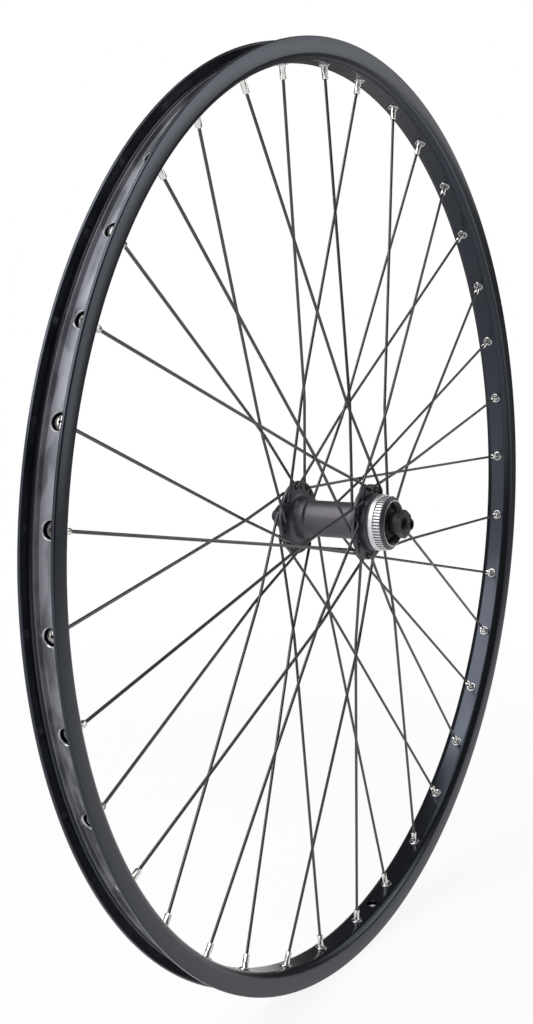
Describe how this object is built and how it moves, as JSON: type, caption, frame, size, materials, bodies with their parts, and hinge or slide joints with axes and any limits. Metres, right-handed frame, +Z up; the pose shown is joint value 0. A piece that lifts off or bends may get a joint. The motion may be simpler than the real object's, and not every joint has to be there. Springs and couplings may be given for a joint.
{
  "type": "bicycle front wheel",
  "caption": "Spoked bicycle front wheel with a hooked box rim, crossed wire spokes and a splined disc-brake hub on a hollow quick-release axle.",
  "frame": {"origin": "centre of the wheel on its axle, midway between the locknut faces", "axes": "+Y along the axle towards the brake disc side, +X forward, +Z up"},
  "size_m": [0.6352, 0.108, 0.6352],
  "materials": {
    "rim_black": "semi-gloss black anodised",
    "eyelet_steel": "bright plated",
    "nickel_brass": "nickel plated",
    "spoke_black": "black oxide",
    "hub_black": "satin black, bare metal at the disc spline",
    "bearing_steel": "polished",
    "cap_steel": "dark pressed sheet",
    "cone_steel": "ground steel",
    "seal_rubber": "matt",
    "axle_steel": "dark plated"
  },
  "bodies": {
    "axle_set": {"axle": "axle_steel", "left_cone": "cone_steel", "right_cone": "cone_steel", "left_cone_seal": "seal_rubber", "right_cone_seal": "seal_rubber", "left_spacer": "axle_steel", "right_washer": "axle_steel", "left_locknut": "axle_steel", "right_locknut": "axle_steel"},
    "wheel": {"rim": "rim_black", "rim_eyelets": "eyelet_steel", "spoke_nipples": "nickel_brass", "spoke_left_01": "spoke_black", "spoke_left_02": "spoke_black", "spoke_left_03": "spoke_black", "spoke_left_04": "spoke_black", "spoke_left_05": "spoke_black", "spoke_left_06": "spoke_black", "spoke_left_07": "spoke_black", "spoke_left_08": "spoke_black", "spoke_left_09": "spoke_black", "spoke_left_10": "spoke_black", "spoke_left_11": "spoke_black", "spoke_left_12": "spoke_black", "spoke_left_13": "spoke_black", "spoke_left_14": "spoke_black", "spoke_left_15": "spoke_black", "spoke_left_16": "spoke_black", "spoke_left_17": "spoke_black", "spoke_left_18": "spoke_black", "spoke_right_01": "spoke_black", "spoke_right_02": "spoke_black", "spoke_right_03": "spoke_black", "spoke_right_04": "spoke_black", "spoke_right_05": "spoke_black", "spoke_right_06": "spoke_black", "spoke_right_07": "spoke_black", "spoke_right_08": "spoke_black", "spoke_right_09": "spoke_black", "spoke_right_10": "spoke_black", "spoke_right_11": "spoke_black", "spoke_right_12": "spoke_black", "spoke_right_13": "spoke_black", "spoke_right_14": "spoke_black", "spoke_right_15": "spoke_black", "spoke_right_16": "spoke_black", "spoke_right_17": "spoke_black", "spoke_right_18": "spoke_black", "hub_shell": "hub_black", "left_bearing_cup": "bearing_steel", "right_bearing_cup": "bearing_steel", "left_dust_cap": "cap_steel", "right_dust_cap": "cap_steel"},
    "left_ball_ring": {"left_bearing_balls": "bearing_steel"},
    "right_ball_ring": {"right_bearing_balls": "bearing_steel"}
  },
  "joints": [
    {"name": "wheel_spin", "type": "hinge", "parent": "axle_set", "child": "wheel", "pos_m": [0, 0, 0], "axis": [0, 1, 0], "continuous": true},
    {"name": "left_balls_orbit", "type": "hinge", "parent": "axle_set", "child": "left_ball_ring", "pos_m": [0, 0.0313, 0], "axis": [0, 1, 0], "continuous": true},
    {"name": "right_balls_orbit", "type": "hinge", "parent": "axle_set", "child": "right_ball_ring", "pos_m": [0, -0.0343, 0], "axis": [0, 1, 0], "continuous": true}
  ],
  "couplings": [
    {"joint": "left_balls_orbit", "follows": "wheel_spin", "ratio": 0.6},
    {"joint": "right_balls_orbit", "follows": "wheel_spin", "ratio": 0.6}
  ]
}
